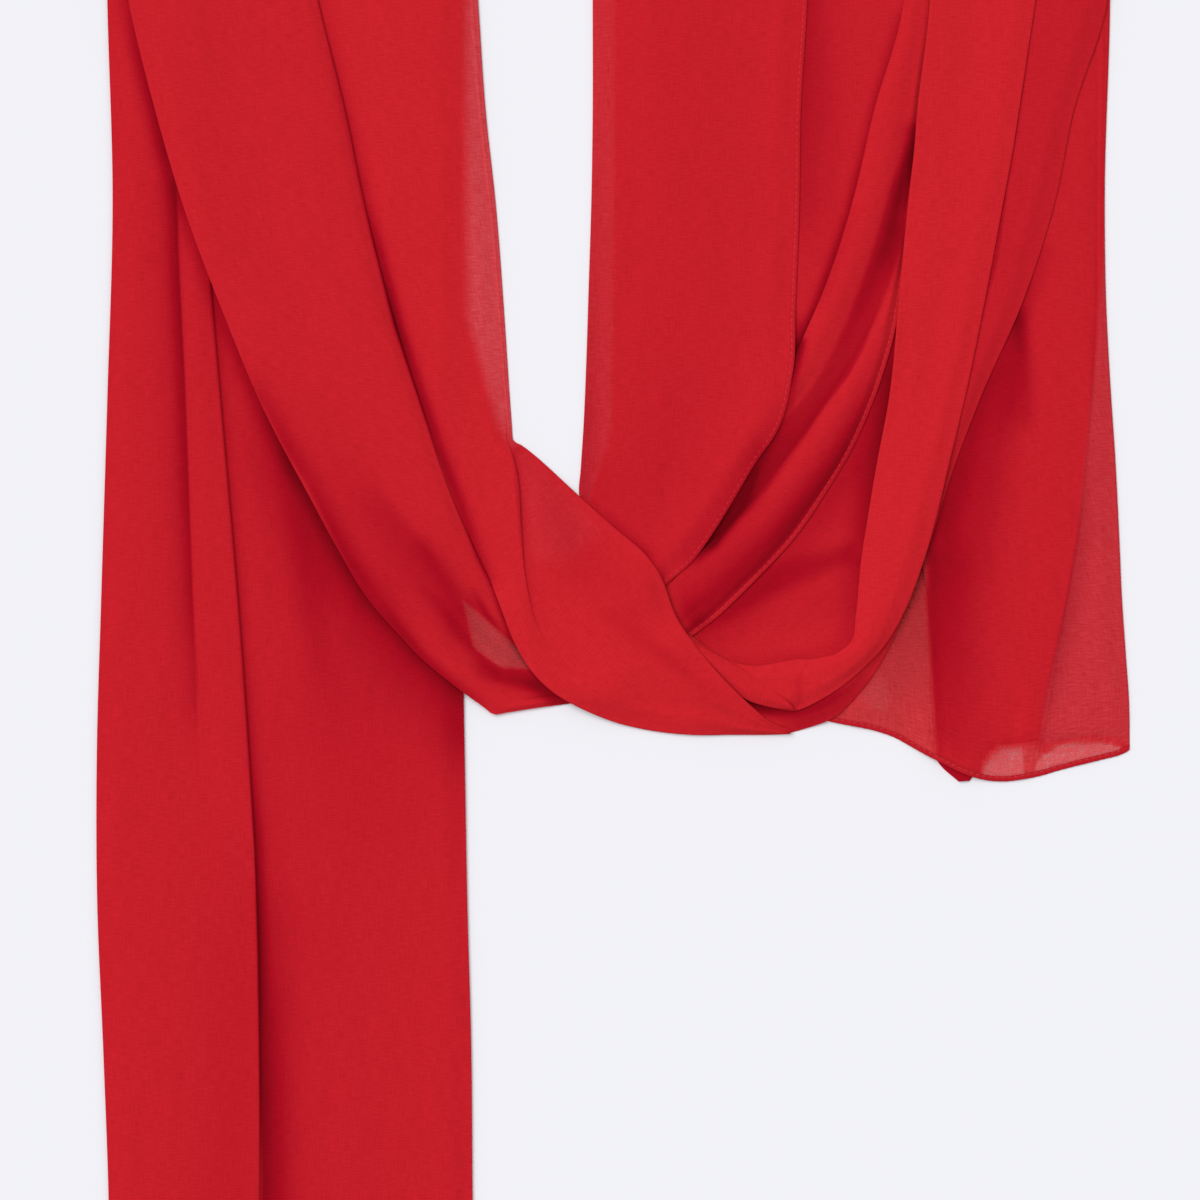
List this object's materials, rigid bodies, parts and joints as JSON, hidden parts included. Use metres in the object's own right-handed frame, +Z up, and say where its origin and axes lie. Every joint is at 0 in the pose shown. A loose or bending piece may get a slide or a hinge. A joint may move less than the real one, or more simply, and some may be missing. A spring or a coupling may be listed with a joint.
{
  "type": "chiffon scarf",
  "caption": "Long sheer chiffon scarf, gathered lengthwise and laid flat in a loop that crosses itself once, with both tails lying under the loop's arms.",
  "frame": {"origin": "centre of the bounding box's base, on the table", "axes": "+Z up from the table, +Y along the scarf from the foot of the loop towards the turns at its top, +X to the right when seen from above with the turns away"},
  "size_m": [0.3872, 0.68, 0.0127],
  "materials": {
    "chiffon": "matte sheer chiffon, several layers deep",
    "chiffon_bright": "matte sheer chiffon, the uppermost folds",
    "chiffon_deep": "matte sheer chiffon, hems and shaded layers",
    "chiffon_pale": "matte sheer chiffon, few layers deep"
  },
  "bodies": {
    "root": {"left_tail": "chiffon", "left_tail_hem": "chiffon_deep", "left_outer_fold": "chiffon", "crossing_fold": "chiffon_bright", "right_panel": "chiffon", "right_panel_hem": "chiffon_deep", "under_panel": "chiffon_pale", "side_rolls": "chiffon", "side_rolls_hem": "chiffon_deep", "cowl_floor": "chiffon_deep", "cowl_fold": "chiffon_bright", "cowl_lip": "chiffon_bright", "outer_fold": "chiffon", "right_tail": "chiffon", "right_tail_hem": "chiffon_deep", "under_corner": "chiffon_deep", "left_turn": "chiffon", "right_turn": "chiffon"}
  },
  "joints": []
}
